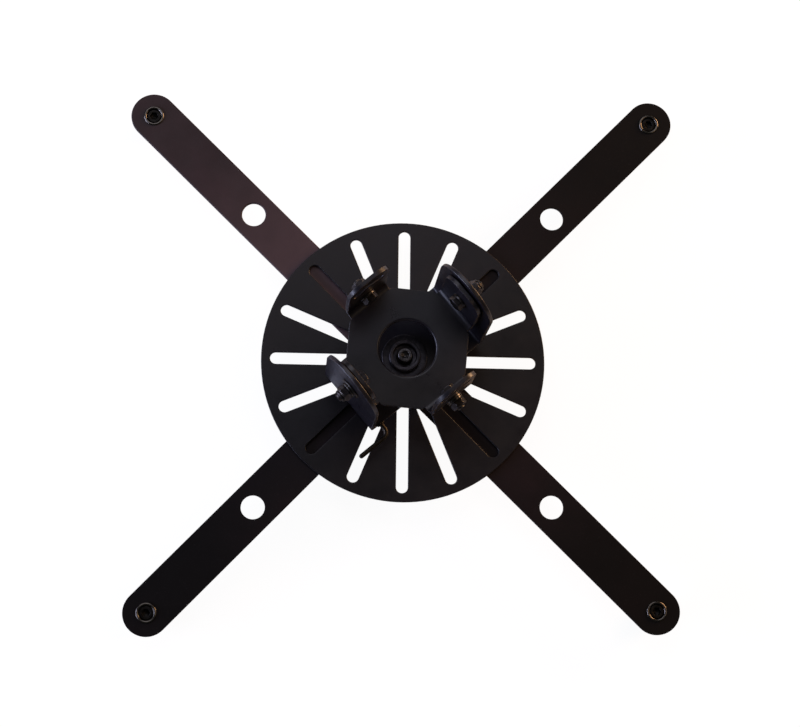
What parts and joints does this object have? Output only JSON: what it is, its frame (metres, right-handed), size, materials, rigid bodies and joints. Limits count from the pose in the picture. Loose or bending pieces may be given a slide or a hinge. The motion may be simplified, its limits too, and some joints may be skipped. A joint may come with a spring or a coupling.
{
  "type": "projector mount",
  "caption": "Ceiling projector mount: slotted round plate with swinging, sliding arms on hollow legs, a swivelling yoke and a tilting octagonal frame with upturned ears.",
  "frame": {"origin": "on the axis of the round plate and the swivel, in the plane of the leg ends that stand on the projector", "axes": "+Z towards the ceiling; +X and +Y to the right and up in the picture, so the arms lie along the diagonals"},
  "size_m": [0.3979, 0.3972, 0.1255],
  "materials": {
    "disk_coat": "fine satin powder coat, charcoal",
    "arm_coat": "satin powder coat, brown-black",
    "leg_metal": "black-plated steel, worn bright at the rim",
    "yoke_coat": "satin powder coat, worn at its edges",
    "frame_coat": "satin powder coat, worn at its edges",
    "hook_metal": "black oxide rod with a bronze tone",
    "boss_metal": "turned, black oxide",
    "slip_plastic": "matt, slightly translucent",
    "bolt_metal": "black-zinc plated, satin",
    "washer_metal": "black-zinc plated, worn bright at its edge"
  },
  "bodies": {
    "disk": {"spider_disk": "disk_coat", "swivel_boss": "boss_metal", "swivel_screw": "bolt_metal", "swivel_screw_washer": "washer_metal", "swivel_nut": "bolt_metal", "swivel_nut_washer": "washer_metal", "slip_washer": "slip_plastic", "retaining_ring": "boss_metal"},
    "clamp_upper_left": {"clamp_bolt_upper_left": "bolt_metal", "clamp_washer_upper_left": "washer_metal", "clamp_nut_upper_left": "bolt_metal"},
    "arm_upper_left": {"arm_upper_left": "arm_coat", "leg_upper_left": "leg_metal", "leg_screw_upper_left": "bolt_metal"},
    "clamp_upper_right": {"clamp_bolt_upper_right": "bolt_metal", "clamp_washer_upper_right": "washer_metal", "clamp_nut_upper_right": "bolt_metal"},
    "arm_upper_right": {"arm_upper_right": "arm_coat", "leg_upper_right": "leg_metal", "leg_screw_upper_right": "bolt_metal"},
    "clamp_lower_left": {"clamp_bolt_lower_left": "bolt_metal", "clamp_washer_lower_left": "washer_metal", "clamp_nut_lower_left": "bolt_metal"},
    "arm_lower_left": {"arm_lower_left": "arm_coat", "leg_lower_left": "leg_metal", "leg_screw_lower_left": "bolt_metal"},
    "clamp_lower_right": {"clamp_bolt_lower_right": "bolt_metal", "clamp_washer_lower_right": "washer_metal", "clamp_nut_lower_right": "bolt_metal"},
    "arm_lower_right": {"arm_lower_right": "arm_coat", "leg_lower_right": "leg_metal", "leg_screw_lower_right": "bolt_metal"},
    "yoke": {"yoke": "yoke_coat", "tether_hook": "hook_metal", "pivot_nut_upper_right": "bolt_metal", "pivot_nut_lower_left": "bolt_metal", "pivot_spring_washer_upper_right": "washer_metal", "pivot_spring_washer_lower_left": "washer_metal", "pivot_washer_upper_right": "washer_metal", "pivot_washer_lower_left": "washer_metal", "pivot_bolt_upper_right": "bolt_metal", "pivot_bolt_lower_left": "bolt_metal", "pivot_head_washer_upper_right": "washer_metal", "pivot_head_washer_lower_left": "washer_metal", "ear_slip_washer_upper_right": "slip_plastic", "ear_slip_washer_lower_left": "slip_plastic"},
    "tilt_frame": {"tilt_frame": "frame_coat", "lock_bolt_upper_left": "bolt_metal", "lock_bolt_lower_right": "bolt_metal", "lock_head_washer_upper_left": "washer_metal", "lock_head_washer_lower_right": "washer_metal", "lock_washer_upper_left": "washer_metal", "lock_washer_lower_right": "washer_metal", "lock_spring_washer_upper_left": "washer_metal", "lock_spring_washer_lower_right": "washer_metal", "lock_nut_upper_left": "bolt_metal", "lock_nut_lower_right": "bolt_metal"}
  },
  "joints": [
    {"name": "clamp_slide_upper_left", "type": "slide", "parent": "disk", "child": "clamp_upper_left", "axis": [-0.7071, 0.7071, 0], "range_m": [-0.0054, 0.0531]},
    {"name": "clamp_slide_upper_right", "type": "slide", "parent": "disk", "child": "clamp_upper_right", "axis": [0.7071, 0.7071, 0], "range_m": [-0.0061, 0.0524]},
    {"name": "clamp_slide_lower_left", "type": "slide", "parent": "disk", "child": "clamp_lower_left", "axis": [-0.7071, -0.7071, 0], "range_m": [-0.0028, 0.0557]},
    {"name": "clamp_slide_lower_right", "type": "slide", "parent": "disk", "child": "clamp_lower_right", "axis": [0.7071, -0.7071, 0], "range_m": [-0.0016, 0.0569]},
    {"name": "arm_swing_upper_left", "type": "hinge", "parent": "clamp_upper_left", "child": "arm_upper_left", "pos_m": [-0.02676, 0.02543, 0.0215], "axis": [0, 0, 1], "range_deg": [-40, 40]},
    {"name": "arm_swing_upper_right", "type": "hinge", "parent": "clamp_upper_right", "child": "arm_upper_right", "pos_m": [0.02725, 0.02592, 0.0215], "axis": [0, 0, 1], "range_deg": [-40, 40]},
    {"name": "arm_swing_lower_left", "type": "hinge", "parent": "clamp_lower_left", "child": "arm_lower_left", "pos_m": [-0.02492, -0.02359, 0.0215], "axis": [0, 0, 1], "range_deg": [-40, 40]},
    {"name": "arm_swing_lower_right", "type": "hinge", "parent": "clamp_lower_right", "child": "arm_lower_right", "pos_m": [0.02407, -0.02274, 0.0215], "axis": [0, 0, 1], "range_deg": [-40, 40]},
    {"name": "head_swivel", "type": "hinge", "parent": "disk", "child": "yoke", "pos_m": [0, 0, 0.03702], "axis": [0, 0, 1], "continuous": true},
    {"name": "frame_tilt", "type": "hinge", "parent": "yoke", "child": "tilt_frame", "pos_m": [0, 0, 0.09852], "axis": [0.7627, 0.6468, 0], "range_deg": [-25, 25]}
  ]
}
